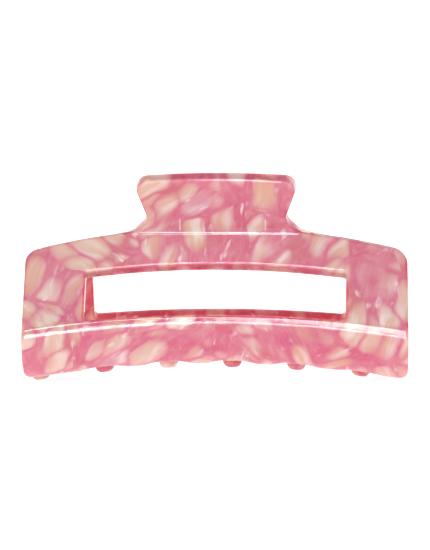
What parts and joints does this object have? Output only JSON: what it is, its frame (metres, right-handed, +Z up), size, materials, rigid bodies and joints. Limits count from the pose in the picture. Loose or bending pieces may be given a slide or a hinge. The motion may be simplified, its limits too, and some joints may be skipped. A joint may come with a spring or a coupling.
{
  "type": "claw clip",
  "caption": "Rectangular cut-out claw clip with bent acetate jaws, interleaved teeth, finger handles and a sprung hinge pin.",
  "frame": {"origin": "under the middle of the closed clip, level with its lowest teeth", "axes": "+X along the clip, parallel to the hinge pin; +Y from the front jaw to the back jaw; +Z up, from the teeth to the handles"},
  "size_m": [0.105, 0.0466, 0.0578],
  "materials": {
    "acetate": "polished",
    "steel": "drawn wire"
  },
  "bodies": {
    "front": {"front_jaw": "acetate", "front_lug_left": "acetate", "front_lug_right": "acetate", "hinge_pin": "steel", "torsion_spring": "steel"},
    "back": {"back_jaw": "acetate", "back_lug_left": "acetate", "back_lug_right": "acetate"}
  },
  "joints": [
    {"name": "jaw_hinge", "type": "hinge", "parent": "front", "child": "back", "pos_m": [0, 0, 0.04204], "axis": [1, 0, 0], "range_deg": [0, 70], "stiffness_Nm_per_rad": 0.054, "springref_deg": -68.75, "deforming": ["torsion_spring"]}
  ]
}
